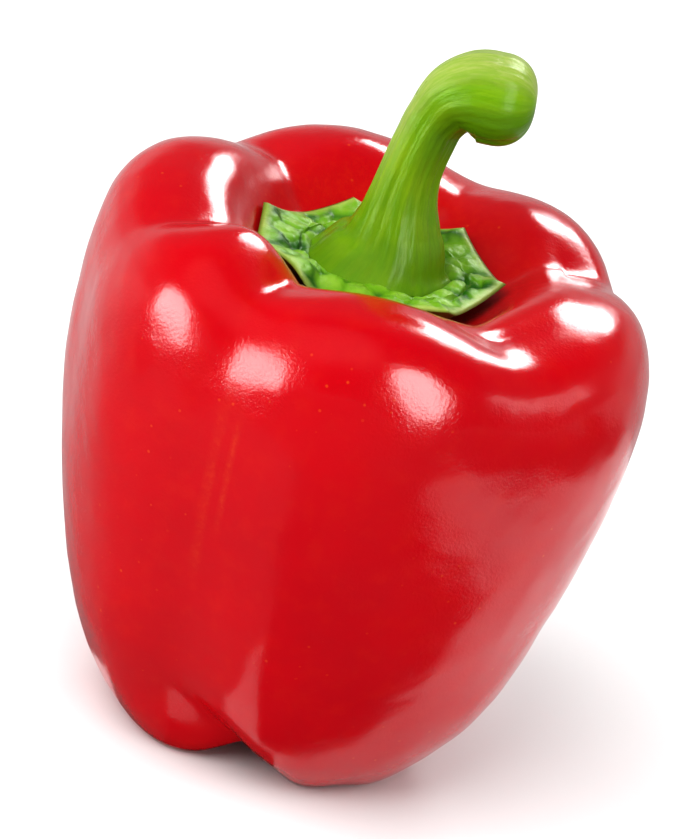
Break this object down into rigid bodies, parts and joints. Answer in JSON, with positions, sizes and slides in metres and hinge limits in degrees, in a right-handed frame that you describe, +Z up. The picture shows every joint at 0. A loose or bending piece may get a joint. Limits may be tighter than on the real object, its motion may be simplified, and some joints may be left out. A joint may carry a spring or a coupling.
{
  "type": "bell pepper",
  "caption": "Ripe red blocky bell pepper, lobed, with a green calyx set in its crown and a hooked cut stem, standing on its lobe tips.",
  "frame": {"origin": "middle of the bounding box's underside, level with the surface that the three lobe tips stand on", "axes": "+Z up along the fruit's axis towards the stem; the stem hooks over towards +X; -Y is the front, the side with the deep furrow between two lobe tips"},
  "size_m": [0.0902, 0.0898, 0.1179],
  "materials": {
    "ripe_skin": "smooth waxy glossy skin, deep scarlet red",
    "calyx_green": "moist blistered green, paler at the rim",
    "stem_green": "satin yellow-green, finely ribbed along its length"
  },
  "bodies": {
    "root": {"fruit": "ripe_skin", "calyx": "calyx_green", "stem": "stem_green"}
  },
  "joints": []
}
